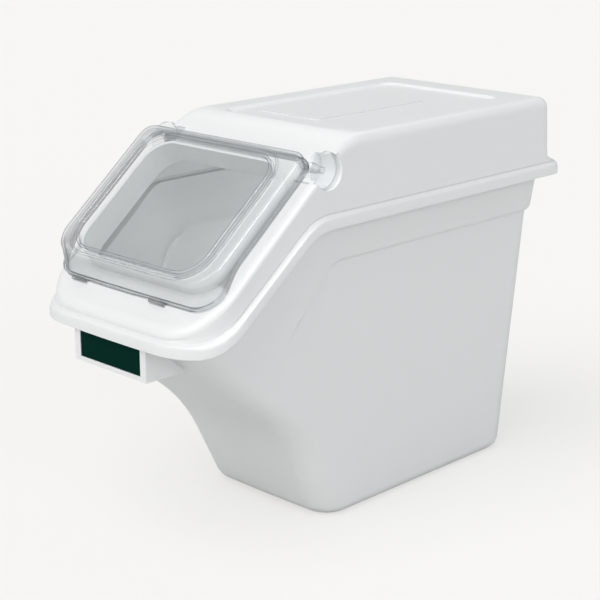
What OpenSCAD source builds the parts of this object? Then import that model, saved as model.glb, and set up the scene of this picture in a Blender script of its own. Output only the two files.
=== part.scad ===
// Ingredient bin with a lift-off hood and a clear flip-up door.
// Millimetres. The door side faces -Y, +Z is up, x = 0 is the plane of symmetry,
// and the origin is the middle of the footprint on the floor.

/* [Overall] */
// Length over the skirt of the hood
bin_l = 584.5; // [560:0.5:610]
// Width over the skirt of the hood
bin_w = 270; // [250:1:300]
// Height from the floor to the top of the hood
bin_h = 429.5; // [424:0.5:440]

/* [Rim] */
// Height of the lower edge of the skirt along the rear part
rim_rear_z = 341; // [330:1:350]
// Height of the lower edge of the skirt at the front
rim_front_z = 238.5; // [234:0.5:244]
// Angle of the sloping part of the rim
rim_angle = 37.9; // [35:0.1:39]
// Distance of the upper bend of the rim from the front face
rim_bend_l = 165.5; // [160:0.5:172]
// Half length of the two bends of the rim
rim_bend_t = 19; // [12:1:22]

/* [Hood] */
// Wall of the hood
hood_wall = 3; // [2:0.1:3.6]
// Height of the skirt that hangs over the rim of the container
skirt_h = 14; // [12:0.5:16]
// Step inward from the skirt to the side wall of the hood
skirt_step = 6.8; // [5.5:0.1:8]
// Width of the ledge between the skirt and the rear wall of the hood
rear_ledge = 8; // [4:0.5:10]
// Radius of the front corners of the skirt
hood_front_r = 60; // [50:1:66]
// Radius of the rear corners of the skirt
hood_rear_r = 28; // [26:1:36]
// How far the front of the skirt bows out at the middle
front_bow = 4; // [2:0.5:8]
// Lean of the hood side walls over their full height
hood_draft = 4.5; // [2:0.5:6]
// Radius of the edge round the top
top_edge_r = 12; // [8:0.5:14]
// Radius of the ridge beside the door
ridge_r = 8; // [6:0.5:9]
// Half length of the bend between the slope and the top
brow_t = 28; // [16:1:34]
// Angle of the front ledge below the door
ledge_angle = 29; // [24:1:33]
// Depth of the trough beside the door
trough_d = 6; // [3:0.5:7]
// Depth of the shallow recess in the top
recess_d = 2.4; // [1:0.1:3]
// Half width of the recess in the top
recess_hw = 87; // [70:1:92]
// Distance of the recess from the rear face of the skirt
recess_rear = 65; // [60:1:70]
// Length of the recess in the top
recess_l = 282; // [200:1:284]
// Corner radius of the recess in the top
recess_r = 18; // [10:1:24]
// Height of the raised field inside the recess
field_h = 1; // [0.5:0.1:1.5]

/* [Door] */
// Angle of the slope that the door lies on
slope_angle = 39.4; // [38:0.1:41]
// Distance of the hinge axis from the front face
hinge_l = 189; // [186:0.5:192]
// Height of the hinge axis
hinge_z = 398; // [396:0.5:400]
// Height of the ridge of the slope above the hinge axis, square to the slope
ridge_n = 6.4; // [6:0.1:7]
// Height of the outer face of the door above the hinge axis
door_n = 35.2; // [33:0.1:38]
// Distance of the upper edge of the door below the hinge axis
door_back = 5.2; // [5:0.1:7]
// Length of the door along the slope at its outer face
door_l = 180; // [176:1:184]
// How far the front wall of the door flares out
door_flare = 12.5; // [8:0.5:14]
// Half width of the door
door_hw = 121; // [115:0.5:121.5]
// Depth of the side walls of the door
door_side_d = 18; // [14:0.5:20]
// Wall of the clear door
door_wall = 2.8; // [2:0.1:3]
// Radius of the outer edge of the door
door_edge_r = 6; // [5:0.5:8]
// Radius of the front corners of the door
door_front_r = 30; // [28:1:38]
// Radius of the upper corners of the door
door_rear_r = 17; // [15:1:24]
// Half width of the window in the door
window_hw = 95; // [84:1:96]
// Distance of the window from the upper edge of the door
window_back = 16; // [14:0.5:20]
// Length of the window along the slope
window_l = 153; // [140:1:155]
// Corner radius of the window
window_r = 28; // [20:1:34]
// Depth of the sunken window
window_d = 5; // [3:0.5:6]
// Width of each tab on the lower lip
tab_w = 22; // [14:1:28]
// Height of each tab on the lower lip
tab_h = 5; // [3:0.5:6]

/* [Hinge] */
// Radius of the hinge discs of the door
disc_r = 19.5; // [18:0.1:20]
// Thickness of the hinge discs
disc_t = 4; // [3:0.5:5]
// Distance of the inner face of each disc from the middle of the bin
disc_x = 118; // [117.5:0.1:118.5]
// Radius of the neck between the door and each disc
neck_r = 3.5; // [2.5:0.1:4.5]
// Running clearance round a hinge disc
hinge_clear = 0.1; // [0.05:0.01:0.1]
// Step that keeps a disc from sliding inward
socket_step = 2; // [1:0.1:3]
// Wall of the hinge socket
socket_wall = 3; // [2:0.1:3.5]
// Depth of the hinge socket from the disc inward
socket_deep = 20; // [16:0.5:22]

/* [Container] */
// Wall of the container
tub_wall = 3; // [2:0.1:3.6]
// Half width of the foot of the container
foot_hw = 94; // [84:1:100]
// Distance of the front of the foot from the front face
foot_front = 221; // [215:1:228]
// Distance of the rear of the foot from the rear face
foot_rear = 43; // [40:1:46]
// Distance of the rear wall under the shoulder band from the rear face
body_rear = 29; // [26:0.5:32]
// Radius of the upright corners of the container
tub_r = 30; // [24:1:34]
// Radius of the edge round the foot
foot_r = 12; // [6:0.5:14]
// Half width of the container under its shoulder band
body_hw = 112; // [108:0.5:113]
// Height of the lower edge of the shoulder band
band_z = 298; // [290:1:304]
// How far the shoulder band stands out
band_out = 8.5; // [6:0.5:9]
// Height where the concave front wall starts to curve
scoop_z = 72; // [60:1:80]
// Lean of the front wall at its foot
scoop_low_angle = 25.5; // [22:0.5:28]
// Lean of the front wall under the rim
scoop_high_angle = 50.5; // [48:0.5:52]
// Radius of the concave front wall
scoop_r = 190; // [170:1:210]

/* [Catch handle] */
// Width of the catch handle below the front rim
catch_w = 111; // [100:1:120]
// Lower edge of the catch handle above the floor
catch_z = 204; // [200:1:210]
// Distance of its front face behind the front face of the skirt
catch_back = 4.2; // [4:0.1:8]
// Wall of the catch handle
catch_wall = 3; // [2.5:0.1:4]
// Width of the label
label_w = 93; // [80:0.5:95]
// Height of the label
label_h = 28; // [22:0.5:28.5]
// Thickness of the label
label_t = 0.8; // [0.4:0.1:1]
// Depth of the recess that the label sits in
label_d = 1.4; // [1.2:0.1:1.8]

/* [Hidden] */

// Clearance between the parts that lift or swing away from each other
gap = 0.3;
// Overrun of every cut
over = 1;
// Width of a small lead-in face
lead = 0.4;
front_y = -bin_l / 2;
rear_y = bin_l / 2;

// Segments of each rounded corner, and places along the straight runs as shares of them
corner_n = 8;
front_shares = [0.05, 0.4, 0.75];
side_shares = [
    0.02, 0.045, 0.09, 0.14, 0.18, 0.205, 0.225, 0.25, 0.275, 0.3, 0.325, 0.35, 0.38, 0.42, 0.5, 0.66, 0.83
];

// Ring of a rounded rectangle, right half from front to rear: [[x, y], [normal x, normal y]]
function half_ring(hw, front, rear, rf, rr, bow = 0) =
    let (bend = function (x) bow * pow(x / hw, 2))
    concat(
        [for (q = front_shares) [[q * (hw - rf), front + bend(q * (hw - rf))], [0, -1]]],
        [for (i = [0:corner_n]) let (a = 90 * i / corner_n - 90, x = hw - rf + rf * cos(a))
            [[x, front + rf + rf * sin(a) + bend(x)], [cos(a), sin(a)]]],
        [for (q = side_shares) [[hw, (front + rf + bow) * (1 - q) + (rear - rr) * q], [1, 0]]],
        [for (i = [0:corner_n]) let (a = 90 * i / corner_n)
            [[hw - rr + rr * cos(a), rear - rr + rr * sin(a)], [cos(a), sin(a)]]]
    );
// A point of such a ring moved inward along its normal
function inset(p, d) = p[0] - d * p[1];
// Closed ring from its right half: the left half is its mirror image
function whole(half) = concat(half, [for (i = [len(half) - 1:-1:0]) [-half[i].x, half[i].y, half[i].z]]);
half_n = len(front_shares) + len(side_shares) + 2 * corner_n + 2;

// Skin over a stack of rings. Each end is closed by strips straight across from right to left.
module skin(halves) {
    rings = [for (h = halves) whole(h)];
    m = len(rings[0]);
    last = len(rings) - 1;
    hm = m / 2;
    sides = [for (j = [0:last - 1], i = [0:m - 1]) let (k = (i + 1) % m, a = j * m + i, b = j * m + k)
        each [[a, a + m, b], [b, a + m, b + m]]];
    low = [for (i = [0:hm - 2]) let (l = m - 1 - i) each [[i, i + 1, l], [l, i + 1, l - 1]]];
    high = [for (i = [0:hm - 2]) let (l = m - 1 - i, t = last * m)
        each [[t + i, t + l, t + i + 1], [t + l, t + l - 1, t + i + 1]]];
    polyhedron([for (r = rings) each r], concat(sides, low, high));
}

// Rise of a line that bends smoothly: 0 behind place c, slope m in front of it, bend half length t
function ramp(y, c, t, m) = y > c + t ? 0 : y < c - t ? m * (c - y) : m * pow(c + t - y, 2) / (4 * t);
// Smooth step from 0 at a to 1 at b
function ease(x, a, b) = let (t = min(1, max(0, (x - a) / (b - a)))) t * t * (3 - 2 * t);

// Lower edge of the skirt, seen from the side
rim_m = tan(rim_angle);
rim_y1 = front_y + rim_bend_l;
rim_y2 = rim_y1 - (rim_rear_z - rim_front_z) / rim_m;
function rim_at(y) = rim_rear_z - ramp(y, rim_y1, rim_bend_t, rim_m) + ramp(y, rim_y2, rim_bend_t, rim_m);

// Upper outline of the hood, seen from the side
hinge_y = front_y + hinge_l;
slope_m = tan(slope_angle);
brow_y = hinge_y + (bin_h - hinge_z - ridge_n / cos(slope_angle)) / slope_m;
lip_v = door_back + door_l + door_flare;
lip_y = hinge_y - lip_v * cos(slope_angle) - ridge_n * sin(slope_angle);
ledge_t = 8;
function top_at(y) = bin_h - ramp(y, brow_y, brow_t, slope_m)
    + ramp(y, lip_y - ledge_t, ledge_t, slope_m - tan(ledge_angle));

// The trough beside the door fades out under the front lip and behind the hinge
trough_l = 22;
function trough_at(y) = trough_d * ease(y, lip_y + ledge_t, lip_y + ledge_t + trough_l)
    * (1 - ease(y, hinge_y - trough_l, hinge_y - trough_l / 2));

// Frame of the slope: origin on the hinge axis, +Y up the slope, +Z square to it
module on_slope() {
    translate([0, hinge_y, hinge_z])
        rotate([slope_angle, 0, 0])
            children();
}
// Point of the slope frame in the frame of the bin
function from_slope(x, v, n) = [
    x,
    hinge_y + v * cos(slope_angle) - n * sin(slope_angle),
    hinge_z + v * sin(slope_angle) + n * cos(slope_angle)
];
// Flat rounded rectangle centred on x = 0
module rounded(hw, y0, y1, r) {
    translate([0, (y0 + y1) / 2])
        union() {
            square([2 * (hw - r), y1 - y0], center = true);
            square([2 * hw, y1 - y0 - 2 * r], center = true);
            for (sx = [-1, 1], sy = [-1, 1])
                translate([sx * (hw - r), sy * ((y1 - y0) / 2 - r)])
                    circle(r, $fn = 48);
        }
}

// Hood

hood_ring = half_ring(bin_w / 2, front_y, rear_y, hood_front_r, hood_rear_r, front_bow);
// Height of the wall between the crease above the skirt and the upper outline
function rise_at(y) = max(lead, top_at(y) - rim_at(y) - skirt_h);
// Radius of the upper edge: large round the top, smaller along the ridge, less on the low front
function edge_at(y) = min(0.8 * rise_at(y), ridge_r + (top_edge_r - ridge_r) * ease(y, hinge_y, brow_y + brow_t));
// Inset of the wall where its upper edge starts
full_rise = bin_h - rim_rear_z - skirt_h;
function lean_at(y) = skirt_step + hood_draft * (rise_at(y) - edge_at(y)) / full_rise;

// Rings above the skirt end short of it at the rear, by the width of the ledge
function pulled(y) = y - rear_ledge * ease(y, 0, rear_y - bin_w / 2);
// One level of the outer face: skirt, bead, wall, upper edge, trough
bead_h = 6.5;
function hood_bead(a, w = 0) = [for (p = hood_ring)
    let (q = inset(p, w + (skirt_step) * (1 - cos(a))), z = rim_at(q.y) + skirt_h - bead_h + (bead_h - w) * sin(a))
    [q.x, q.y, z]];
function hood_low(w = 0) = [for (p = hood_ring) let (q = inset(p, w)) [q.x, q.y, rim_at(q.y)]];
function hood_edge(a) = [for (p = hood_ring)
    let (y0 = inset(p, skirt_step).y, r = edge_at(y0), q = inset(p, lean_at(y0) + r * (1 - cos(a))))
    [q.x, pulled(q.y), top_at(pulled(q.y)) - r * (1 - sin(a))]];
foot_h = 6;
function hood_foot(w = 0) = [for (p = hood_ring)
    let (q = inset(p, skirt_step + w + lead * 3), h = min(foot_h, 0.3 * rise_at(q.y)))
    [q.x, pulled(q.y), rim_at(q.y) + skirt_h - w + h]];
function hood_floor() = [for (p = hood_ring)
    let (y0 = inset(p, skirt_step).y, q = inset(p, lean_at(y0) + edge_at(y0) + 2 * lead))
    [q.x, pulled(q.y), top_at(pulled(q.y)) - trough_at(q.y)]];
// The inner face keeps the same wall all over, and the ridge beside the door is solid
function steep_at(y) = (top_at(y + lead) - top_at(y - lead)) / (2 * lead);
function deep_at(y) = hood_wall * sqrt(1 + pow(steep_at(y), 2)) + trough_at(y);
function hood_inner(a) = [for (p = hood_ring)
    let (y0 = inset(p, skirt_step).y, r = max(lead, edge_at(y0) - hood_wall))
    let (q = inset(p, lean_at(y0) + hood_wall + r * (1 - cos(a))))
    [q.x, pulled(q.y), top_at(pulled(q.y)) - deep_at(pulled(q.y)) - r * (1 - sin(a))]];

module hood_shell() {
    skin([
        hood_inner(90),
        hood_inner(45),
        hood_inner(0),
        hood_foot(hood_wall),
        hood_bead(90, hood_wall),
        hood_bead(0, hood_wall),
        hood_low(hood_wall),
        hood_low(),
        hood_bead(0),
        hood_bead(30),
        hood_bead(60),
        hood_bead(90),
        hood_foot(),
        hood_edge(0),
        hood_edge(22.5),
        hood_edge(45),
        hood_edge(67.5),
        hood_edge(90),
        hood_floor()
    ]);
}

// Side outline of the hood as a flat shape in y and z, shrunk by d at the top
module side_outline(d) {
    steps = 24;
    y0 = hinge_y - 2 * disc_r;
    y1 = brow_y + brow_t + disc_r;
    polygon(concat(
        [for (i = [0:steps]) let (y = y0 + (y1 - y0) * i / steps) [y, top_at(y) - d]],
        [[y1, hinge_z - 2 * disc_r], [y0, hinge_z - 2 * disc_r]]
    ));
}
// Extrudes a flat shape drawn in y and z along +x
module along_x(l) {
    rotate([90, 0, 90])
        linear_extrude(l)
            children();
}

socket_r = disc_r + hinge_clear;
// Half of the width between the outer faces of the hood walls at the height of the hinge
hinge_hw = bin_w / 2 - skirt_step - hood_draft * (hinge_z - rim_rear_z - skirt_h) / full_rise;
module socket_block() {
    intersection() {
        translate([disc_x - socket_deep - socket_wall, hinge_y, hinge_z])
            rotate([0, 90, 0])
                cylinder(r = socket_r + socket_wall, h = hinge_hw - disc_x + socket_deep + socket_wall - hood_wall / 2, $fn = 96);
        translate([disc_x - socket_deep - socket_wall - over, 0, 0])
            along_x(socket_deep + disc_t + 2 * (socket_wall + over))
                side_outline(lead);
    }
}
module socket_cut() {
    translate([disc_x - gap, hinge_y, hinge_z])
        rotate([0, 90, 0])
            cylinder(r = socket_r, h = bin_w / 2 - disc_x, $fn = 96);
    translate([disc_x - socket_deep, hinge_y, hinge_z])
        rotate([0, 90, 0])
            cylinder(r = socket_r - socket_step, h = socket_deep + over, $fn = 96);
}

// Collar round the mouth: it stands up under the sunken window of the door
collar_top = door_n - window_d - door_wall - 2 * gap;
collar_low = ridge_n - trough_d - hood_wall / 2;
mouth_v1 = -door_back - window_back;
mouth_v0 = mouth_v1 - window_l;
module collar() {
    on_slope()
        translate([0, 0, collar_low])
            linear_extrude(collar_top - collar_low)
                rounded(window_hw + hood_wall, mouth_v0 - hood_wall, mouth_v1 + hood_wall, window_r + hood_wall);
}
module mouth_cut() {
    on_slope()
        translate([0, 0, collar_low - 4 * hood_wall])
            linear_extrude(collar_top - collar_low + 4 * hood_wall + over)
                rounded(window_hw, mouth_v0, mouth_v1, window_r);
}

recess_y1 = rear_y - recess_rear;
recess_y0 = recess_y1 - recess_l;
recess_wall = hood_wall - lead;
module recess_floor() {
    translate([0, 0, bin_h - recess_d - recess_wall])
        linear_extrude(recess_d + recess_wall - hood_wall / 2)
            rounded(recess_hw + recess_wall, recess_y0 - recess_wall, recess_y1 + recess_wall, recess_r + recess_wall);
}
module recess_cut() {
    translate([0, 0, bin_h - recess_d])
        linear_extrude(recess_d + over)
            rounded(recess_hw, recess_y0, recess_y1, recess_r);
}
// Raised field on the floor of the recess, off the middle as on the real top
field_x0_share = -0.76;
field_x1_share = 0.34;
field_margin = 34;
module recess_field() {
    fx = recess_hw * (field_x0_share + field_x1_share) / 2;
    translate([fx, 0, bin_h - recess_d - lead])
        linear_extrude(field_h + lead)
            rounded(recess_hw * (field_x1_share - field_x0_share) / 2, recess_y0 + field_margin, recess_y1 - 2 * field_margin, recess_r / 2);
}

module hood() {
    color("white")
        union() {
            difference() {
                union() {
                    hood_shell();
                    collar();
                    recess_floor();
                    for (side = [0, 1])
                        mirror([side, 0, 0])
                            socket_block();
                }
                mouth_cut();
                recess_cut();
                for (side = [0, 1])
                    mirror([side, 0, 0])
                        socket_cut();
            }
            recess_field();
        }
}

// Flip-up door, drawn in the frame of the slope

door_v1 = -door_back;
door_v0 = door_v1 - door_l;
lip_n = ridge_n + gap;
// Height of the lower edge of the door wall: on the ledge at the front, higher along the sides
function door_low_at(v) = lip_n + (door_n - door_side_d - lip_n) * ease(v, door_v0 + door_front_r * 0.1, door_v0 + door_front_r * 1.6);
// Half ring of the door at depth share t below its outer face, moved inward by d
function door_half(t, d) =
    [for (p = half_ring(door_hw, door_v0 - t * door_flare, door_v1, door_front_r, door_rear_r, 1))
        inset(p, d)];
function door_rim(d) = [for (q = door_half(1, d)) from_slope(q.x, q.y, door_low_at(q.y))];
function door_knee(a, w) =
    [for (q = door_half(0, w + (door_edge_r - w) * (1 - cos(a))))
        from_slope(q.x, q.y, door_n - w - (door_edge_r - w) * (1 - sin(a)))];
module door_shell() {
    skin([
        door_knee(90, door_wall),
        door_knee(45, door_wall),
        door_knee(0, door_wall),
        door_rim(door_wall),
        door_rim(0),
        door_knee(0, 0),
        door_knee(30, 0),
        door_knee(60, 0),
        door_knee(90, 0)
    ]);
}
module window_floor() {
    on_slope()
        translate([0, 0, door_n - window_d - door_wall])
            linear_extrude(window_d + door_wall / 2)
                rounded(window_hw + door_wall, mouth_v0 - door_wall, mouth_v1 + door_wall, window_r + door_wall);
}
module window_cut() {
    on_slope()
        translate([0, 0, door_n - window_d])
            linear_extrude(window_d + over)
                rounded(window_hw, mouth_v0, mouth_v1, window_r);
}
// Arm from the upper corner of the door down to the neck, as a side outline in v and n
arm_r = 5;
arm_w = 9;
arm_x = disc_x - socket_deep + gap * 3;
module arm() {
    on_slope() {
        translate([arm_x, 0, 0])
            along_x(arm_w)
                polygon([
                    [arm_r, 0],
                    [arm_r * 0.6, arm_r * 1.2],
                    [-door_back * 0.5, door_n * 0.4],
                    [-door_back - lead, door_n - door_side_d],
                    [-door_back - lead, door_n - door_edge_r],
                    [-door_back - door_rear_r, door_n - door_edge_r],
                    [-door_back - door_rear_r, door_n - door_side_d],
                    [-door_back - arm_r, ridge_n + 4 * gap],
                    [-arm_r, 0]
                ]);
        translate([arm_x, 0, 0])
            rotate([0, 90, 0])
                cylinder(r = arm_r, h = arm_w, $fn = 48);
        translate([arm_x, 0, 0])
            rotate([0, 90, 0])
                cylinder(r = neck_r, h = disc_x - arm_x + disc_t / 2, $fn = 48);
        translate([disc_x, 0, 0])
            rotate([0, 90, 0])
                cylinder(r = disc_r, h = disc_t, $fn = 96);
    }
}
// Tabs on the lower lip, to lift the door by
tab_share = [-0.63, 0.37];
module tab(x) {
    on_slope()
        translate([x - tab_w / 2, door_v0 - door_flare - door_wall, lip_n])
            cube([tab_w, door_wall + lead, tab_h]);
}

module flip_door() {
    color("lightcyan", 0.4) {
        difference() {
            union() {
                door_shell();
                window_floor();
                for (side = [0, 1])
                    mirror([side, 0, 0])
                        arm();
                for (s = tab_share)
                    tab(s * door_hw);
            }
            window_cut();
        }
    }
}

// Container

// Half width, front and rear of the container at height z, below the shoulder band
top_front = front_y + skirt_step + hood_wall * 3;
foot_y0 = front_y + foot_front;
foot_y1 = rear_y - foot_rear;
body_y1 = rear_y - body_rear;
function body_hw_at(z) = foot_hw + (body_hw - foot_hw) * z / band_z;
function body_rear_at(z) = foot_y1 + (body_y1 - foot_y1) * z / band_z;
arc_rise = scoop_r * (sin(scoop_high_angle) - sin(scoop_low_angle));
arc_run = scoop_r * (cos(scoop_low_angle) - cos(scoop_high_angle));
low_run = scoop_z * tan(scoop_low_angle);
function scoop_at(z) =
    let (h = z - scoop_z)
    h < 0 ? z * tan(scoop_low_angle)
    : h < arc_rise ? low_run + scoop_r * (cos(scoop_low_angle) - cos(asin(h / scoop_r + sin(scoop_low_angle))))
    : low_run + arc_run + (h - arc_rise) * tan(scoop_high_angle);
function body_front_at(z) = max(top_front, foot_y0 - scoop_at(z));
function body_half(z) = half_ring(body_hw_at(z), body_front_at(z), body_rear_at(z), tub_r, tub_r, tub_bow);
// Lean of the front wall at height z, and the factor that keeps its wall even along the lean
function scoop_sin(z) = min(sin(scoop_high_angle), max(sin(scoop_low_angle), (z - scoop_z) / scoop_r + sin(scoop_low_angle)));
function even(p, z) = 1 + max(0, -p[1].y) * (1 / sqrt(1 - pow(scoop_sin(z), 2)) - 1);
// Lower edge of the shoulder band: level behind, falling away towards the front
band_m = 1.7;
band_bend_l = 196;
band_t = 22;
band_fade = 60;
function band_at(y) = band_z - ramp(y, front_y + band_bend_l, band_t, band_m);
function out_at(y) = band_out * ease(y, front_y + band_bend_l - band_fade, front_y + band_bend_l - band_t / 2);

tub_bow = 2;
// Height on the upright line of point i where that line crosses the height rule f(y)
function cross(i, f, lo, hi, n = 14) =
    let (m = (lo + hi) / 2)
    n == 0 ? m : m < f(body_half(m)[i][0].y) ? cross(i, f, m, hi, n - 1) : cross(i, f, lo, m, n - 1);
seat_of = function (y) rim_at(y) + skirt_h - hood_wall - gap;
band_of = function (y) band_at(y);
lip_z = [for (i = [0:half_n - 1]) cross(i, seat_of, rim_front_z - skirt_h, bin_h)];
band_edge_z = [for (i = [0:half_n - 1]) min(lip_z[i] - 2 * skirt_h, cross(i, band_of, foot_r, bin_h))];

// Point i at height z, moved outward by out
function tub_point(i, z, out) = let (p = body_half(z)[i], q = inset(p, -out * even(p, z))) [q.x, q.y, z];
function tub_body(t, w = 0) = [for (i = [0:half_n - 1])
    tub_point(i, foot_r + (band_edge_z[i] - foot_r) * t, -w)];
function tub_foot(a, w = 0) = [for (i = [0:half_n - 1])
    tub_point(i, w + (foot_r - w) * (1 - sin(a)), -w - (foot_r - w) * (1 - cos(a)))];
function tub_band(dz, share, w = 0) = [for (i = [0:half_n - 1])
    let (z = band_edge_z[i] + dz, y = body_half(z)[i][0].y) tub_point(i, z, share * out_at(y) - w)];
function tub_neck(dz, w = 0) = [for (i = [0:half_n - 1])
    let (z = lip_z[i] - dz, y = body_half(z)[i][0].y) tub_point(i, z, out_at(y) - w)];
// The lip follows the inside of the skirt of the hood at distance d from its outer face, dz below the bead
function tub_lip(d, dz) = [for (p = hood_ring)
    let (q = inset(p, d)) [q.x, q.y, rim_at(q.y) + skirt_h - hood_wall - gap - dz]];

body_shares = [0.1, 0.2, 0.3, 0.4, 0.5, 0.6, 0.7, 0.8, 0.9];
band_step_h = 5;
lip_t = 3;
bead_drop = bead_h - hood_wall;
lip_out = hood_wall + gap;
lip_in = lip_out + skirt_step;
module container_shell() {
    skin(concat(
        [tub_foot(90), tub_foot(60), tub_foot(30), tub_foot(0)],
        [for (t = body_shares) tub_body(t)],
        [tub_body(1), tub_band(band_step_h / 3, 0.4), tub_band(band_step_h, 0.68), tub_neck(lip_t + bead_drop + lead)],
        [tub_lip(lip_out, bead_drop + lip_t), tub_lip(lip_out, bead_drop), tub_lip(lip_in, 0)],
        [tub_neck(lead, tub_wall), tub_neck(lip_t + bead_drop, tub_wall), tub_band(band_step_h, 0.68, tub_wall)],
        [tub_body(1, tub_wall)],
        [for (k = [len(body_shares) - 1:-1:0]) tub_body(body_shares[k], tub_wall)],
        [tub_foot(0, tub_wall), tub_foot(45, tub_wall), tub_foot(90, tub_wall)]
    ));
}

// Catch handle: a hollow block under the front rim, open below for the fingers
catch_y = front_y + catch_back;
catch_top = rim_front_z + skirt_h - hood_wall - gap - bead_drop - lip_t / 2;
label_z = rim_front_z - gap - label_h - 2 * lead;
function scoop_y(z) = foot_y0 - scoop_at(z);
module catch_side(y_in, z_low, z_high, sink) {
    polygon([
        [y_in, z_low],
        [y_in, z_high],
        [scoop_y(z_high) + sink, z_high],
        [scoop_y(z_low) + sink, z_low]
    ]);
}
module catch_handle() {
    difference() {
        translate([-catch_w / 2, 0, 0])
            along_x(catch_w)
                catch_side(catch_y, catch_z, catch_top, tub_wall / 2);
        translate([catch_wall - catch_w / 2, 0, 0])
            along_x(catch_w - 2 * catch_wall)
                catch_side(catch_y + catch_wall, catch_z - over, catch_top - 2 * catch_wall, tub_wall);
        translate([-label_w / 2 - lead, catch_y - over, label_z - lead])
            cube([label_w + 2 * lead, label_d + over, label_h + 2 * lead]);
    }
}

module container() {
    color("white")
        union() {
            container_shell();
            catch_handle();
        }
}

module label_card() {
    color("darkgreen")
        translate([-label_w / 2, catch_y + label_d - label_t, label_z])
            cube([label_w, label_t, label_h]);
}

container();
label_card();
hood();
flip_door();
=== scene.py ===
"""Dresses the ingredient bin: white container and hood, clear flip-up door, bare green label."""

import math

import bpy
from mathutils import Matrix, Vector


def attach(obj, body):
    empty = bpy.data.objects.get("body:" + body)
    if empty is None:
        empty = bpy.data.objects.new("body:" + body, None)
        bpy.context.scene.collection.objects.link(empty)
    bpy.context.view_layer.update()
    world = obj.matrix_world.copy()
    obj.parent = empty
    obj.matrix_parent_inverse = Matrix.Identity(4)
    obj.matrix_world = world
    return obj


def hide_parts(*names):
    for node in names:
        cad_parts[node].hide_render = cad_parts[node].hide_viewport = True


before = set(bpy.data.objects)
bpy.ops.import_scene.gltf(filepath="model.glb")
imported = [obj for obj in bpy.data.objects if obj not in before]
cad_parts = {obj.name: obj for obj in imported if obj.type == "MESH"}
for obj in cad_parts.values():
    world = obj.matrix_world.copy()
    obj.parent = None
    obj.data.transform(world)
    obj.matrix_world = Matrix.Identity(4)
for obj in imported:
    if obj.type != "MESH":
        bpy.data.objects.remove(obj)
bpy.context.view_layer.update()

MM = 0.001

# The view of the photograph
CAMERA_PLACE = (1.183471, -1.223287, 0.720181)
CAMERA_AZIMUTH = math.radians(44.445)
CAMERA_ELEVATION = math.radians(16.46)
FOCAL_PX = 1578.965
PHOTO_PX = 600
SENSOR_MM = 36
VIEW_END = 100

# Colours
PALE_BACKGROUND = (0.93, 0.922, 0.914, 1)
WHITE_PLASTIC = (0.73, 0.75, 0.755, 1)
LABEL_GREEN = (0.001, 0.021, 0.015, 1)
CLEAR_WAY = (0.985, 0.988, 0.99, 1)
CLEAR_FACE = (0.962, 0.967, 0.97, 1)
# Painted shade: the lip bead stands for the door's real lip, but its darker tint, face on and edge on,
# stands for the shadowed gap under the door
RIM_SHADE_FACE = (0.93, 0.94, 0.945, 1)
CLEAR_TURN = (0.60, 0.63, 0.64, 1)
CLEAR_BEAD = (0.42, 0.45, 0.46, 1)
RIM_SHADE_TURN = (0.26, 0.29, 0.30, 1)
CLEAR_NECK = (0.66, 0.69, 0.70, 1)
CLEAR_EDGE = (0.12, 0.14, 0.145, 1)
CLEAR_MILK = (0.9, 0.92, 0.92, 1)
FLOOR_BOUNCE = (0.66, 0.655, 0.65, 1)
FLOOR_SHADE = (0.35, 0.35, 0.35, 1)
FLOOR_GLOW = (1, 0.988, 0.98, 1)
ROOM_LIGHT = (0.978, 0.995, 1, 1)
WHITE_LAMP = (1, 1, 1)
WARM_LAMP = (1, 0.965, 0.95)

# Surfaces: roughness, and the scales and depths of the fine textures
CONTAINER_ROUGHNESS = 0.42
HOOD_ROUGHNESS = 0.30
ROUGHNESS_SWING = 0.04
FLOW_SCALE = 9
FLOW_TINT = 0.985
GRAIN_SCALE = 900
GRAIN_STRENGTH = 0.05
GRAIN_DEPTH = 0.05 * MM
HAZE_SCALE = 14
HAZE_STRENGTH = 0.04
HAZE_DEPTH = 0.4 * MM
WEAVE_SCALE = 400
LABEL_ROUGHNESS = (0.42, 0.52)
LABEL_SPECULAR = 0.01

# Clear plastic: where the wall turns from the eye (0 face on, 1 edge on) and how much it shines
FACE_ON_UNTIL = 0.45
DOOR_TURN_AT = 0.82
BEAD_TURN_AT = 0.62
RIM_TURN_AT = 0.58
NECK_TURN_AT = 0.80
MILK_SHARE = (0.05, 0.08)
GLOSS_ROUGHNESS = (0.05, 0.10)
PLASTIC_IOR = 1.5

# The slope that the door lies on and its hinge, as in the part
SLOPE = math.radians(39.4)
UP_SLOPE = Vector((0, math.cos(SLOPE), math.sin(SLOPE)))
OUT_OF_SLOPE = Vector((0, -math.sin(SLOPE), math.cos(SLOPE)))
HINGE = Vector((0, -0.10325, 0.398))

# The face of the door and its window, as in the part. Sizes and places are in mm from here on.
DOOR_N = 35.2
WINDOW_HW = 95
WINDOW_V0 = -174.2
WINDOW_V1 = -21.2
WINDOW_R = 28

# Painted shade on the door's walls, fading out: along an axis of the slope, from and to
LOW_WALL_SPAN = (17, 31)
FRONT_WALL_SPAN = (-150, -172)
HINGE_WALL_SPAN = (-30, -22)
LOW_WALL_SHARE = 0.68
FRONT_WALL_SHARE = 0.92

# Beads round the window: margin outside its edge, width and height. They start just inside the door.
WINDOW_BEAD = (2.6, 3.2, 2.8)
OUTER_BEAD = (10, 2.8, 2.2)
BEAD_LOW = DOOR_N - 0.4
BEAD_CORNER_STEPS = 12
BEAD_ROUNDING = 0.45

# Bead along the lower edge of the door's walls: which faces it grows from, and its section
LIP_SIDE_X = 117
LIP_FRONT_V = -178
LIP_HINGE_V = -24
LIP_END_V = -5
LIP_FROM_N = 6
LIP_TO_N = 17.6
ARM_TOP_N = 15
LIP_FACING = -0.6
LIP_LIFT = 1.6
LIP_T = 2.8
LIP_ROUNDING = 0.9
LIP_SWELL = 0.9

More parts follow.
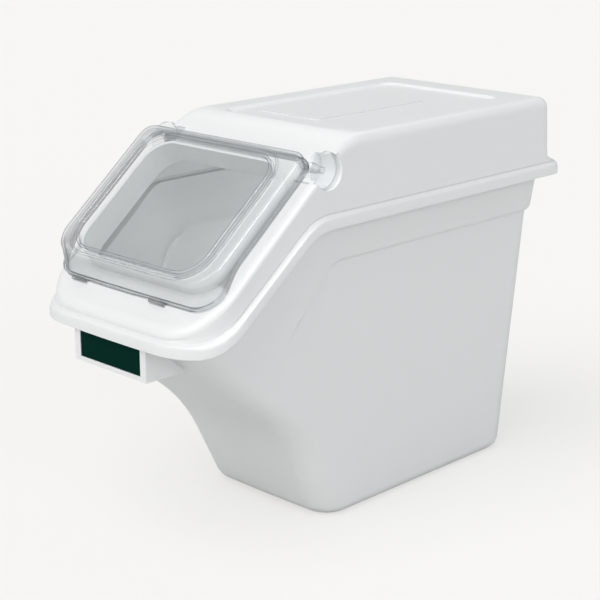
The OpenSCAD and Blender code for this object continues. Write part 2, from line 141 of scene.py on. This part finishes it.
# Sections of the hinge neck: across, up the slope, out of it, half width, half height
NECK_SECTIONS = [
    (119, 0, 0, 3.6, 3.6),
    (111, 0, 0, 3.6, 3.6),
    (106, -0.5, 1, 3.7, 4),
    (103.5, -2.5, 4, 4, 6),
    (101.6, -6.5, 8.5, 4.4, 9),
    (99.2, -10, 12.5, 5, 11),
]
NECK_SIDES = 28

# The flat arms inside the door, from and to: across, up the slope, out of it
ARM_X = (98, 108.4)
ARM_V = (-22.6, -7.6)
ARM_N = (0, 32.35)

# The recess in the top of the hood, as in the part
TOP_Z = 429.5
RECESS_HW = 87
RECESS_Y0 = -54.75
RECESS_Y1 = 227.25
RECESS_D = 2.4
RECESS_EASE = 4
RECESS_BORDER = 12
RECESS_REACH = 1.02
FIELD_H = 1
LEVEL_SLACK = 0.2
# Width and steps of the rounded edges
RIM_ROUNDING = (2.2, 3)
FIELD_ROUNDING = (0.8, 2)

# The rim of the hood, which falls between its two bends, as in the part
RIM_REAR_Z = 341
RIM_FALL = math.tan(math.radians(37.9))
RIM_Y1 = -126.75
RIM_Y2 = -258.4
RIM_BEND = 19
SKIRT_H = 14

# Painted shade along the crease at the top of the skirt: its middle over the skirt, half width, and
# where it fades
CREASE_RISE = 0.2
CREASE_HALF = (0.2, 0.9)
CREASE_FADE_Y = (-190, -245)
CREASE_SHADE_SHARE = 0.80
# A smooth maximum spread by this many bends stays within 0.2 mm of the curve in the part
BEND_SPREAD = 1.5

# Turns that are smoothed, up to so many degrees
DOOR_SMOOTH = 36
HOOD_SMOOTH = 30
PLAIN_SMOOTH = 52
BEAD_SMOOTH = 50

# Turns that count as edges, from so many degrees, and corners that count as one
BEVEL_OVER = 60
SHARP_OVER = 12
MERGE_DISTANCE = 0.02

# Lamps far off: direction, strength, spread in degrees, colour
KEY_LAMP = ((0.05, -0.58, 0.81), 0.44, 50, WARM_LAMP)
LOW_FRONT_LAMP = ((-0.25, -0.86, 0.44), 0.16, 40, WARM_LAMP)
SPARK_LAMP = ((0.5, -0.25, 0.83), 0.46, 26, WHITE_LAMP)
FILL_LAMP = ((0.95, -0.24, 0.2), 0.30, 60, WHITE_LAMP)
SHEEN_LAMP = ((-0.47, 0.49, 0.71), 0.12, 40, WHITE_LAMP)
LAMP_DISTANCE = 3

# Small lamps inside: place in metres, power in watts, radius in metres. The hinge's is on the slope.
INNER_GLOW = ((0, 0.06, 0.24), 0.36, 0.07)
HINGE_GLOW_PLACE = (110, -2, 9)
HINGE_GLOW_POWER = 0.004
HINGE_GLOW_RADIUS = 0.004

# The room and the floor, in metres
ROOM_STRENGTH = 0.57
FLOOR_SIZE = 60
FLOOR_Z = -0.0002
FLOOR_GLOW_STRENGTH = 0.562


def nodes_of(material):
    """Empties a material's node tree and returns its nodes and a way to link them."""
    material.use_nodes = True
    tree = material.node_tree
    tree.nodes.clear()
    return tree.nodes, tree.links


def painted_crease_shade(nodes, links, place):
    """Painted shade: share of colour kept in the fine crease that runs along the top of the hood's
    skirt.
    """
    parts = nodes.new("ShaderNodeSeparateXYZ")
    links.new(place.outputs["Object"], parts.inputs["Vector"])
    height = parts.outputs["Z"]
    for turn_y, sign in ((RIM_Y1, 1), (RIM_Y2, -1)):
        fall = nodes.new("ShaderNodeMath")
        fall.operation = "MULTIPLY_ADD"
        fall.inputs[1].default_value = -RIM_FALL
        fall.inputs[2].default_value = RIM_FALL * turn_y * MM
        bend = nodes.new("ShaderNodeMath")
        bend.operation = "SMOOTH_MAX"
        bend.inputs[1].default_value = 0
        bend.inputs[2].default_value = BEND_SPREAD * RIM_FALL * RIM_BEND * MM
        level = nodes.new("ShaderNodeMath")
        level.operation = "MULTIPLY_ADD"
        level.inputs[1].default_value = sign
        links.new(parts.outputs["Y"], fall.inputs[0])
        links.new(fall.outputs["Value"], bend.inputs[0])
        links.new(bend.outputs["Value"], level.inputs[0])
        links.new(height, level.inputs[2])
        height = level.outputs["Value"]
    above = nodes.new("ShaderNodeMath")
    above.operation = "SUBTRACT"
    above.inputs[1].default_value = (RIM_REAR_Z + SKIRT_H + CREASE_RISE) * MM
    away = nodes.new("ShaderNodeMath")
    away.operation = "ABSOLUTE"
    line = nodes.new("ShaderNodeMapRange")
    line.interpolation_type = "SMOOTHSTEP"
    line.inputs["From Min"].default_value = CREASE_HALF[0] * MM
    line.inputs["From Max"].default_value = CREASE_HALF[1] * MM
    line.inputs["To Min"].default_value = CREASE_SHADE_SHARE
    fade = nodes.new("ShaderNodeMapRange")
    fade.inputs["From Min"].default_value = CREASE_FADE_Y[0] * MM
    fade.inputs["From Max"].default_value = CREASE_FADE_Y[1] * MM
    share = nodes.new("ShaderNodeMath")
    share.operation = "MAXIMUM"
    links.new(height, above.inputs[0])
    links.new(above.outputs["Value"], away.inputs[0])
    links.new(away.outputs["Value"], line.inputs["Value"])
    links.new(parts.outputs["Y"], fade.inputs["Value"])
    links.new(line.outputs["Result"], share.inputs[0])
    links.new(fade.outputs["Result"], share.inputs[1])
    return share.outputs["Value"]


def moulded_plastic(name, colour, roughness, crease_shaded=False):
    """Injection-moulded plastic: faint flow variation, fine surface texture, painted shade in a crease
    on the hood.
    """
    material = bpy.data.materials.new(name)
    nodes, links = nodes_of(material)
    out = nodes.new("ShaderNodeOutputMaterial")
    shader = nodes.new("ShaderNodeBsdfPrincipled")
    place = nodes.new("ShaderNodeTexCoord")
    flow = nodes.new("ShaderNodeTexNoise")
    flow.inputs["Scale"].default_value = FLOW_SCALE
    flow.inputs["Detail"].default_value = 3
    tint = nodes.new("ShaderNodeMapRange")
    tint.inputs["To Min"].default_value = FLOW_TINT
    tint.inputs["To Max"].default_value = 1
    shade = nodes.new("ShaderNodeMix")
    shade.data_type = "RGBA"
    shade.blend_type = "MULTIPLY"
    shade.inputs["Factor"].default_value = 1
    shade.inputs["A"].default_value = colour
    gloss = nodes.new("ShaderNodeMapRange")
    gloss.inputs["To Min"].default_value = roughness - ROUGHNESS_SWING
    gloss.inputs["To Max"].default_value = roughness + ROUGHNESS_SWING
    fine = nodes.new("ShaderNodeTexNoise")
    fine.inputs["Scale"].default_value = GRAIN_SCALE
    fine.inputs["Detail"].default_value = 2
    bump = nodes.new("ShaderNodeBump")
    bump.inputs["Strength"].default_value = GRAIN_STRENGTH
    bump.inputs["Distance"].default_value = GRAIN_DEPTH
    links.new(place.outputs["Object"], flow.inputs["Vector"])
    links.new(place.outputs["Object"], fine.inputs["Vector"])
    links.new(flow.outputs["Fac"], tint.inputs["Value"])
    # Painted shade along the crease at the top of the hood's skirt
    if crease_shaded:
        darker = nodes.new("ShaderNodeMath")
        darker.operation = "MULTIPLY"
        links.new(tint.outputs["Result"], darker.inputs[0])
        links.new(painted_crease_shade(nodes, links, place), darker.inputs[1])
        links.new(darker.outputs["Value"], shade.inputs["B"])
    else:
        links.new(tint.outputs["Result"], shade.inputs["B"])
    links.new(shade.outputs["Result"], shader.inputs["Base Color"])
    links.new(flow.outputs["Fac"], gloss.inputs["Value"])
    links.new(gloss.outputs["Result"], shader.inputs["Roughness"])
    links.new(fine.outputs["Fac"], bump.inputs["Height"])
    links.new(bump.outputs["Normal"], shader.inputs["Normal"])
    links.new(shader.outputs["BSDF"], out.inputs["Surface"])
    return material


def low_wall_shade(nodes, links, place):
    """Painted shade on the door's walls: share of colour kept, darkest along the low edge of the side
    walls, lighter on the front wall, none by the hinge.
    """
    shares = []
    spans = [
        (OUT_OF_SLOPE, LOW_WALL_SPAN),
        (UP_SLOPE, FRONT_WALL_SPAN),
        (UP_SLOPE, HINGE_WALL_SPAN),
    ]
    for axis, (low, high) in spans:
        along = nodes.new("ShaderNodeVectorMath")
        along.operation = "DOT_PRODUCT"
        along.inputs[1].default_value = axis
        share = nodes.new("ShaderNodeMapRange")
        share.interpolation_type = "SMOOTHSTEP"
        share.inputs["From Min"].default_value = low * MM + HINGE.dot(axis)
        share.inputs["From Max"].default_value = high * MM + HINGE.dot(axis)
        links.new(place.outputs["Object"], along.inputs[0])
        links.new(along.outputs["Value"], share.inputs["Value"])
        shares.append(share)
    shares[0].inputs["To Min"].default_value = LOW_WALL_SHARE
    shares[1].inputs["To Max"].default_value = FRONT_WALL_SHARE
    most = shares[0].outputs["Result"]
    for share in shares[1:]:
        larger = nodes.new("ShaderNodeMath")
        larger.operation = "MAXIMUM"
        links.new(most, larger.inputs[0])
        links.new(share.outputs["Result"], larger.inputs[1])
        most = larger.outputs["Value"]
    return most


def clear_plastic(name, turn, turn_at, face=CLEAR_FACE, shaded=False):
    """Clear moulded plastic: see-through face on, greyer where the wall is seen edge on, glossy, and
    with painted shade on the door's low walls when shaded.
    """
    material = bpy.data.materials.new(name)
    nodes, links = nodes_of(material)
    out = nodes.new("ShaderNodeOutputMaterial")
    place = nodes.new("ShaderNodeTexCoord")
    haze = nodes.new("ShaderNodeTexNoise")
    haze.inputs["Scale"].default_value = HAZE_SCALE
    wave = nodes.new("ShaderNodeBump")
    wave.inputs["Strength"].default_value = HAZE_STRENGTH
    wave.inputs["Distance"].default_value = HAZE_DEPTH
    edge = nodes.new("ShaderNodeLayerWeight")
    edge.inputs["Blend"].default_value = 0.5
    tint = nodes.new("ShaderNodeValToRGB")
    tint.color_ramp.elements[0].position = FACE_ON_UNTIL
    tint.color_ramp.elements[0].color = face
    tint.color_ramp.elements[1].position = 1.0
    tint.color_ramp.elements[1].color = CLEAR_EDGE
    middle = tint.color_ramp.elements.new(turn_at)
    middle.color = turn
    passing = nodes.new("ShaderNodeBsdfTransparent")
    milk = nodes.new("ShaderNodeBsdfDiffuse")
    milk.inputs["Color"].default_value = CLEAR_MILK
    milky = nodes.new("ShaderNodeMapRange")
    milky.inputs["To Min"].default_value = MILK_SHARE[0]
    milky.inputs["To Max"].default_value = MILK_SHARE[1]
    body = nodes.new("ShaderNodeMixShader")
    mirror = nodes.new("ShaderNodeBsdfGlossy")
    gloss = nodes.new("ShaderNodeMapRange")
    gloss.inputs["To Min"].default_value = GLOSS_ROUGHNESS[0]
    gloss.inputs["To Max"].default_value = GLOSS_ROUGHNESS[1]
    fresnel = nodes.new("ShaderNodeFresnel")
    fresnel.inputs["IOR"].default_value = PLASTIC_IOR
    side = nodes.new("ShaderNodeNewGeometry")
    front = nodes.new("ShaderNodeMath")
    front.operation = "SUBTRACT"
    front.inputs[0].default_value = 1
    shine = nodes.new("ShaderNodeMath")
    shine.operation = "MULTIPLY"
    mix = nodes.new("ShaderNodeMixShader")
    open_way = nodes.new("ShaderNodeBsdfTransparent")
    open_way.inputs["Color"].default_value = CLEAR_WAY
    rays = nodes.new("ShaderNodeLightPath")
    soft_rays = nodes.new("ShaderNodeMath")
    soft_rays.operation = "MAXIMUM"
    whole = nodes.new("ShaderNodeMixShader")
    links.new(rays.outputs["Is Shadow Ray"], soft_rays.inputs[0])
    links.new(rays.outputs["Is Diffuse Ray"], soft_rays.inputs[1])
    links.new(soft_rays.outputs["Value"], whole.inputs["Fac"])
    links.new(mix.outputs["Shader"], whole.inputs[1])
    links.new(open_way.outputs["BSDF"], whole.inputs[2])
    links.new(side.outputs["Backfacing"], front.inputs[1])
    links.new(fresnel.outputs["Fac"], shine.inputs[0])
    links.new(front.outputs["Value"], shine.inputs[1])
    links.new(place.outputs["Object"], haze.inputs["Vector"])
    links.new(haze.outputs["Fac"], gloss.inputs["Value"])
    links.new(haze.outputs["Fac"], milky.inputs["Value"])
    links.new(haze.outputs["Fac"], wave.inputs["Height"])
    links.new(wave.outputs["Normal"], mirror.inputs["Normal"])
    links.new(gloss.outputs["Result"], mirror.inputs["Roughness"])
    links.new(edge.outputs["Facing"], tint.inputs["Fac"])
    # Painted shade on the low walls of the door, for the shadowed gap under it
    if shaded:
        shade = nodes.new("ShaderNodeVectorMath")
        shade.operation = "SCALE"
        links.new(tint.outputs["Color"], shade.inputs[0])
        links.new(low_wall_shade(nodes, links, place), shade.inputs["Scale"])
        links.new(shade.outputs["Vector"], passing.inputs["Color"])
    else:
        links.new(tint.outputs["Color"], passing.inputs["Color"])
    links.new(milky.outputs["Result"], body.inputs["Fac"])
    links.new(passing.outputs["BSDF"], body.inputs[1])
    links.new(milk.outputs["BSDF"], body.inputs[2])
    links.new(shine.outputs["Value"], mix.inputs["Fac"])
    links.new(body.outputs["Shader"], mix.inputs[1])
    links.new(mirror.outputs["BSDF"], mix.inputs[2])
    links.new(whole.outputs["Shader"], out.inputs["Surface"])
    return material


def label_film(name):
    """Dark green satin film of a bare label."""
    material = bpy.data.materials.new(name)
    nodes, links = nodes_of(material)
    out = nodes.new("ShaderNodeOutputMaterial")
    shader = nodes.new("ShaderNodeBsdfPrincipled")
    place = nodes.new("ShaderNodeTexCoord")
    weave = nodes.new("ShaderNodeTexNoise")
    weave.inputs["Scale"].default_value = WEAVE_SCALE
    shade = nodes.new("ShaderNodeMapRange")
    shade.inputs["To Min"].default_value = LABEL_ROUGHNESS[0]
    shade.inputs["To Max"].default_value = LABEL_ROUGHNESS[1]
    bump = nodes.new("ShaderNodeBump")
    bump.inputs["Strength"].default_value = GRAIN_STRENGTH
    bump.inputs["Distance"].default_value = GRAIN_DEPTH
    shader.inputs["Base Color"].default_value = LABEL_GREEN
    shader.inputs["Specular IOR Level"].default_value = LABEL_SPECULAR
    links.new(place.outputs["Object"], weave.inputs["Vector"])
    links.new(weave.outputs["Fac"], shade.inputs["Value"])
    links.new(shade.outputs["Result"], shader.inputs["Roughness"])
    links.new(weave.outputs["Fac"], bump.inputs["Height"])
    links.new(bump.outputs["Normal"], shader.inputs["Normal"])
    links.new(shader.outputs["BSDF"], out.inputs["Surface"])
    return material


def pick(obj):
    """Makes obj the only selected and active object."""
    bpy.ops.object.select_all(action="DESELECT")
    obj.select_set(True)
    bpy.context.view_layer.objects.active = obj


def finish_shading(piece, angle):
    """Smooth over soft turns, with the large faces left flat."""
    pick(piece)
    bpy.ops.object.shade_smooth_by_angle(angle=math.radians(angle))
    even = piece.modifiers.new("even_shading", "WEIGHTED_NORMAL")
    even.keep_sharp = True
    bpy.ops.object.modifier_apply(modifier=even.name)


def merged_copy(node, name):
    """A merged copy of a CAD node, to carry its finish."""
    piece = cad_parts[node].copy()
    piece.data = piece.data.copy()
    piece.name = name
    piece.data.name = name
    for key in list(piece.keys()):
        del piece[key]
    piece.parent = None
    bpy.context.scene.collection.objects.link(piece)
    pick(piece)
    bpy.ops.object.mode_set(mode="EDIT")
    bpy.ops.mesh.select_all(action="SELECT")
    bpy.ops.mesh.remove_doubles(threshold=MERGE_DISTANCE * MM)
    bpy.ops.mesh.customdata_custom_splitnormals_clear()
    bpy.ops.object.mode_set(mode="OBJECT")
    return piece


def paint(piece, material):
    """Gives a piece one material all over."""
    piece.data.materials.clear()
    piece.data.materials.append(material)


def on_slope(x, v, n):
    """World place of a point given along the hinge, up the slope and out of it, in mm."""
    return HINGE + (Vector((x, 0, 0)) + UP_SLOPE * v + OUT_OF_SLOPE * n) * MM


def apply_place():
    """Leaves the active piece at the origin, unrotated and unscaled."""
    bpy.ops.object.transform_apply(location=True, rotation=True, scale=True)


def window_bead(name, margin, width, height):
    """Rounded bead that runs round the window at a margin outside its edge."""
    middle = (WINDOW_V0 + WINDOW_V1) / 2
    length = WINDOW_V1 - WINDOW_V0 + 2 * margin
    bpy.ops.object.select_all(action="DESELECT")
    bpy.ops.mesh.primitive_plane_add(size=1)
    bead = bpy.context.object
    bead.name = name
    bpy.ops.object.mode_set(mode="EDIT")
    bpy.ops.mesh.select_all(action="SELECT")
    bpy.ops.transform.resize(value=(2 * (WINDOW_HW + margin) * MM, length * MM, 1))
    corner = (WINDOW_R + margin) * MM
    bpy.ops.mesh.bevel(offset=corner, segments=BEAD_CORNER_STEPS, affect="VERTICES")
    bpy.ops.mesh.select_all(action="SELECT")
    bpy.ops.mesh.inset(thickness=width * MM)
    bpy.ops.mesh.delete(type="FACE")
    bpy.ops.mesh.select_all(action="SELECT")
    bpy.ops.mesh.extrude_region_move(TRANSFORM_OT_translate={"value": (0, 0, height * MM)})
    bpy.ops.mesh.select_all(action="SELECT")
    bpy.ops.mesh.normals_make_consistent(inside=False)
    bpy.ops.object.mode_set(mode="OBJECT")
    soft = bead.modifiers.new("soft_edges", "BEVEL")
    soft.width = min(width, height) * BEAD_ROUNDING * MM
    soft.segments = 3
    soft.limit_method = "ANGLE"
    soft.angle_limit = math.radians(BEVEL_OVER)
    bpy.ops.object.modifier_apply(modifier=soft.name)
    bead.rotation_euler = (SLOPE, 0, 0)
    bead.location = on_slope(0, middle, BEAD_LOW)
    apply_place()
    finish_shading(bead, BEAD_SMOOTH)
    return bead


def lip_bead(name):
    """Rounded bead along the lower edge of the door wall, raised from the edge itself."""
    bead = merged_copy("flip_door", name)
    bpy.ops.object.mode_set(mode="EDIT")
    bpy.ops.mesh.select_mode(type="FACE")
    bpy.ops.mesh.select_all(action="DESELECT")
    bpy.ops.object.mode_set(mode="OBJECT")
    for face in bead.data.polygons:
        place = face.center - HINGE
        along = place.dot(UP_SLOPE) / MM
        height = place.dot(OUT_OF_SLOPE) / MM
        side = abs(place.x) > LIP_SIDE_X * MM
        edge = side or along < LIP_FRONT_V or along > LIP_HINGE_V
        arm = along > LIP_HINGE_V and height < ARM_TOP_N
        low = LIP_FROM_N < height < LIP_TO_N and along < LIP_END_V
        under = face.normal.dot(OUT_OF_SLOPE) < LIP_FACING
        face.select = not (under and low and edge and not arm)
    bpy.ops.object.mode_set(mode="EDIT")
    bpy.ops.mesh.delete(type="FACE")
    bpy.ops.mesh.select_all(action="SELECT")
    bpy.ops.transform.translate(value=OUT_OF_SLOPE * LIP_LIFT * MM)
    bpy.ops.object.mode_set(mode="OBJECT")
    body = bead.modifiers.new("body", "SOLIDIFY")
    body.thickness = LIP_T * MM
    body.offset = -1
    bpy.ops.object.modifier_apply(modifier=body.name)
    soft = bead.modifiers.new("soft_edges", "BEVEL")
    soft.width = LIP_ROUNDING * MM
    soft.segments = 2
    soft.limit_method = "ANGLE"
    soft.angle_limit = math.radians(BEVEL_OVER)
    bpy.ops.object.modifier_apply(modifier=soft.name)
    swell = bead.modifiers.new("swell", "DISPLACE")
    swell.strength = LIP_SWELL * MM
    swell.mid_level = 0
    bpy.ops.object.modifier_apply(modifier=swell.name)
    bpy.ops.object.shade_smooth_by_angle(angle=math.radians(BEAD_SMOOTH))
    return bead


def hinge_neck(name, side):
    """Neck that flares from the hinge disc into the corner of the door, section by section."""
    x, v, n, wide, high = NECK_SECTIONS[0]
    bpy.ops.object.select_all(action="DESELECT")
    bpy.ops.mesh.primitive_circle_add(
        vertices=NECK_SIDES,
        radius=wide * MM,
        fill_type="NGON",
        location=(side * x * MM, v * MM, n * MM),
        rotation=(0, side * math.pi / 2, 0),
    )
    neck = bpy.context.object
    neck.name = name
    apply_place()
    bpy.ops.object.mode_set(mode="EDIT")
    bpy.ops.mesh.select_all(action="SELECT")
    for section in NECK_SECTIONS[1:]:
        next_x, next_v, next_n, next_wide, next_high = section
        step = (side * (next_x - x) * MM, (next_v - v) * MM, (next_n - n) * MM)
        bpy.ops.mesh.extrude_region_move(TRANSFORM_OT_translate={"value": step})
        bpy.ops.transform.resize(value=(1, next_wide / wide, next_high / high))
        x, v, n, wide, high = section
    bpy.ops.mesh.select_all(action="SELECT")
    bpy.ops.mesh.normals_make_consistent(inside=False)
    bpy.ops.object.mode_set(mode="OBJECT")
    fair = neck.modifiers.new("fair", "SUBSURF")
    fair.levels = 2
    bpy.ops.object.modifier_apply(modifier=fair.name)
    neck.rotation_euler = (SLOPE, 0, 0)
    neck.location = HINGE
    apply_place()
    bpy.ops.object.shade_smooth()
    return neck


def without_inner_arms(door):
    """Takes the flat arms inside the cover away: the flared necks stand for them."""
    pick(door)
    bpy.ops.object.mode_set(mode="EDIT")
    bpy.ops.mesh.select_mode(type="FACE")
    bpy.ops.mesh.select_all(action="DESELECT")
    bpy.ops.object.mode_set(mode="OBJECT")
    for face in door.data.polygons:
        places = [door.data.vertices[i].co - HINGE for i in face.vertices]
        face.select = all(
            ARM_X[0] * MM < abs(place.x) < ARM_X[1] * MM
            and ARM_V[0] * MM < place.dot(UP_SLOPE) < ARM_V[1] * MM
            and ARM_N[0] * MM < place.dot(OUT_OF_SLOPE) < ARM_N[1] * MM
            for place in places
        )
    bpy.ops.object.mode_set(mode="EDIT")
    bpy.ops.mesh.delete(type="FACE")
    bpy.ops.mesh.select_all(action="SELECT")
    bpy.ops.mesh.fill_holes(sides=0)
    bpy.ops.object.mode_set(mode="OBJECT")


def door_trim(bead_material, rim_material, neck_material):
    """Mouldings of the clear door."""
    beads = [
        window_bead("window_bead", *WINDOW_BEAD),
        window_bead("outer_bead", *OUTER_BEAD),
    ]
    rim = lip_bead("lip_bead")
    necks = [hinge_neck("right_neck", 1), hinge_neck("left_neck", -1)]
    for piece in beads:
        paint(piece, bead_material)
    for piece in necks:
        paint(piece, neck_material)
    paint(rim, rim_material)
    for piece in beads + necks + [rim]:
        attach(piece, "flip_door")


def bevel_edges(piece, chosen, width, segments):
    """Rounds the sharp edges whose two ends are both chosen."""
    bpy.ops.object.mode_set(mode="EDIT")
    bpy.ops.mesh.select_mode(type="EDGE")
    bpy.ops.mesh.select_all(action="DESELECT")
    bpy.ops.mesh.edges_select_sharp(sharpness=math.radians(SHARP_OVER))
    bpy.ops.object.mode_set(mode="OBJECT")
    points = piece.data.vertices
    for edge in piece.data.edges:
        both = all(chosen(points[i].co / MM) for i in edge.vertices)
        edge.select = edge.select and both
    bpy.ops.object.mode_set(mode="EDIT")
    bpy.ops.mesh.bevel(
        offset=width * MM,
        segments=segments,
        affect="EDGES",
        clamp_overlap=True,
    )
    bpy.ops.object.mode_set(mode="OBJECT")


def ease_recess(hood):
    """Slopes and rounds the walls of the shallow recess in the top of the hood."""
    pick(hood)
    low = TOP_Z - RECESS_D
    middle = (RECESS_Y0 + RECESS_Y1) / 2
    half = (RECESS_Y1 - RECESS_Y0) / 2

    def well_inside(place):
        across = abs(place.x) < RECESS_HW - RECESS_BORDER
        return across and abs(place.y - middle) < half - RECESS_BORDER

    def on_rim(place):
        across = abs(place.x) / RECESS_HW
        along = abs(place.y - middle) / half
        level = low - LEVEL_SLACK < place.z < TOP_Z + LEVEL_SLACK
        return level and max(across, along) < RECESS_REACH and not well_inside(place)

    def on_field(place):
        return well_inside(place) and abs(place.z - low - FIELD_H) < LEVEL_SLACK

    bpy.ops.object.mode_set(mode="EDIT")
    bpy.ops.mesh.select_mode(type="VERT")
    bpy.ops.mesh.select_all(action="DESELECT")
    bpy.ops.object.mode_set(mode="OBJECT")
    for vertex in hood.data.vertices:
        place = vertex.co / MM
        vertex.select = on_rim(place) and abs(place.z - low) < LEVEL_SLACK
    bpy.ops.object.mode_set(mode="EDIT")
    ease = (1 - RECESS_EASE / RECESS_HW, 1 - RECESS_EASE / half, 1)
    bpy.ops.transform.resize(value=ease, center_override=(0, middle * MM, low * MM))
    bpy.ops.object.mode_set(mode="OBJECT")
    bevel_edges(hood, on_rim, *RIM_ROUNDING)
    bevel_edges(hood, on_field, *FIELD_ROUNDING)


def dress(node, name, material, body):
    """Gives a CAD node the finished copy that is seen in its place."""
    piece = merged_copy(node, name)
    if node == "flip_door":
        without_inner_arms(piece)
        bpy.ops.object.shade_smooth_by_angle(angle=math.radians(DOOR_SMOOTH))
    elif node == "hood":
        ease_recess(piece)
        finish_shading(piece, HOOD_SMOOTH)
    else:
        finish_shading(piece, PLAIN_SMOOTH)
    paint(piece, material)
    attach(piece, body)
    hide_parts(node)
    return piece


def camera():
    """The camera of the photograph."""
    data = bpy.data.cameras.new("camera")
    data.sensor_width = SENSOR_MM
    data.lens = FOCAL_PX * SENSOR_MM / PHOTO_PX
    data.clip_end = VIEW_END
    eye = bpy.data.objects.new("camera", data)
    eye.location = CAMERA_PLACE
    eye.rotation_euler = (math.pi / 2 - CAMERA_ELEVATION, 0, CAMERA_AZIMUTH)
    bpy.context.scene.collection.objects.link(eye)
    bpy.context.scene.camera = eye


def far_lamp(name, toward, strength, spread, colour):
    """A broad lamp a long way off, in the direction given."""
    data = bpy.data.lights.new(name, "SUN")
    data.color = colour
    data.energy = strength * math.pi
    data.angle = math.radians(spread)
    lamp = bpy.data.objects.new(name, data)
    lamp.rotation_euler = (-Vector(toward)).to_track_quat("-Z", "Y").to_euler()
    lamp.location = Vector(toward) * LAMP_DISTANCE
    bpy.context.scene.collection.objects.link(lamp)
    return lamp


def small_lamp(name, place, power, radius):
    """A soft lamp inside the bin that isn't seen itself."""
    data = bpy.data.lights.new(name, "POINT")
    data.energy = power
    data.shadow_soft_size = radius
    lamp = bpy.data.objects.new(name, data)
    lamp.location = place
    lamp.visible_camera = False
    lamp.visible_glossy = False
    lamp.visible_transmission = False
    bpy.context.scene.collection.objects.link(lamp)


def lamps():
    """Key from above the front, low light from the front, fill from the right, and what only shines."""
    far_lamp("key", *KEY_LAMP)
    far_lamp("low_front", *LOW_FRONT_LAMP)
    spark = far_lamp("spark", *SPARK_LAMP)
    spark.visible_diffuse = False
    far_lamp("fill", *FILL_LAMP)
    sheen = far_lamp("sheen", *SHEEN_LAMP)
    sheen.visible_diffuse = False
    sheen.visible_transmission = False
    # The daylight that the thin white walls let in, and what the clear hinges gather
    small_lamp("inner_glow", *INNER_GLOW)
    across, along, out = HINGE_GLOW_PLACE
    for side in (1, -1):
        place = on_slope(side * across, along, out)
        small_lamp("hinge_glow", place, HINGE_GLOW_POWER, HINGE_GLOW_RADIUS)


def room():
    """A dim white room that lights the bin, seen by the camera as a pale background."""
    world = bpy.data.worlds.new("studio")
    bpy.context.scene.world = world
    nodes, links = nodes_of(world)
    out = nodes.new("ShaderNodeOutputWorld")
    dim = nodes.new("ShaderNodeBackground")
    dim.inputs["Color"].default_value = ROOM_LIGHT
    dim.inputs["Strength"].default_value = ROOM_STRENGTH
    seen = nodes.new("ShaderNodeBackground")
    seen.inputs["Color"].default_value = PALE_BACKGROUND
    seen.inputs["Strength"].default_value = 1
    rays = nodes.new("ShaderNodeLightPath")
    through = nodes.new("ShaderNodeMath")
    through.operation = "MAXIMUM"
    mix = nodes.new("ShaderNodeMixShader")
    links.new(rays.outputs["Is Camera Ray"], through.inputs[0])
    links.new(rays.outputs["Is Transmission Ray"], through.inputs[1])
    links.new(through.outputs["Value"], mix.inputs["Fac"])
    links.new(dim.outputs["Background"], mix.inputs[1])
    links.new(seen.outputs["Background"], mix.inputs[2])
    links.new(mix.outputs["Shader"], out.inputs["Surface"])


def floor():
    """A pale floor that glows a little to the camera and only bounces light to the bin."""
    bpy.ops.object.select_all(action="DESELECT")
    bpy.ops.mesh.primitive_plane_add(size=FLOOR_SIZE, location=(0, 0, FLOOR_Z))
    ground = bpy.context.object
    ground.name = "floor"
    material = bpy.data.materials.new("pale_floor")
    nodes, links = nodes_of(material)
    out = nodes.new("ShaderNodeOutputMaterial")
    plain = nodes.new("ShaderNodeBsdfDiffuse")
    plain.inputs["Color"].default_value = FLOOR_BOUNCE
    soft = nodes.new("ShaderNodeBsdfDiffuse")
    soft.inputs["Color"].default_value = FLOOR_SHADE
    glow = nodes.new("ShaderNodeEmission")
    glow.inputs["Color"].default_value = FLOOR_GLOW
    glow.inputs["Strength"].default_value = FLOOR_GLOW_STRENGTH
    both = nodes.new("ShaderNodeAddShader")
    rays = nodes.new("ShaderNodeLightPath")
    mix = nodes.new("ShaderNodeMixShader")
    links.new(soft.outputs["BSDF"], both.inputs[0])
    links.new(glow.outputs["Emission"], both.inputs[1])
    links.new(rays.outputs["Is Camera Ray"], mix.inputs["Fac"])
    links.new(plain.outputs["BSDF"], mix.inputs[1])
    links.new(both.outputs["Shader"], mix.inputs[2])
    links.new(mix.outputs["Shader"], out.inputs["Surface"])
    paint(ground, material)


def main():
    """Makes the materials, the studio and the visible pieces."""
    white = moulded_plastic("white_plastic", WHITE_PLASTIC, CONTAINER_ROUGHNESS)
    hood_white = moulded_plastic("hood_white_plastic", WHITE_PLASTIC, HOOD_ROUGHNESS, crease_shaded=True)
    clear = clear_plastic("clear_plastic", CLEAR_TURN, DOOR_TURN_AT, shaded=True)
    bead_clear = clear_plastic("clear_bead_plastic", CLEAR_BEAD, BEAD_TURN_AT)
    # The lip bead's clear plastic, tinted darker as painted shade for the gap under the door
    rim_shade_clear = clear_plastic("clear_rim_shaded_plastic", RIM_SHADE_TURN, RIM_TURN_AT, RIM_SHADE_FACE)
    neck_clear = clear_plastic("clear_neck_plastic", CLEAR_NECK, NECK_TURN_AT)
    green = label_film("label_green")
    camera()
    lamps()
    room()
    floor()
    door_trim(bead_clear, rim_shade_clear, neck_clear)
    dress("container", "container_body", white, "container")
    dress("hood", "hood_body", hood_white, "hood")
    dress("flip_door", "door_body", clear, "flip_door")
    dress("label_card", "label_film", green, "container")
    bpy.context.scene.view_settings.view_transform = "Standard"


main()
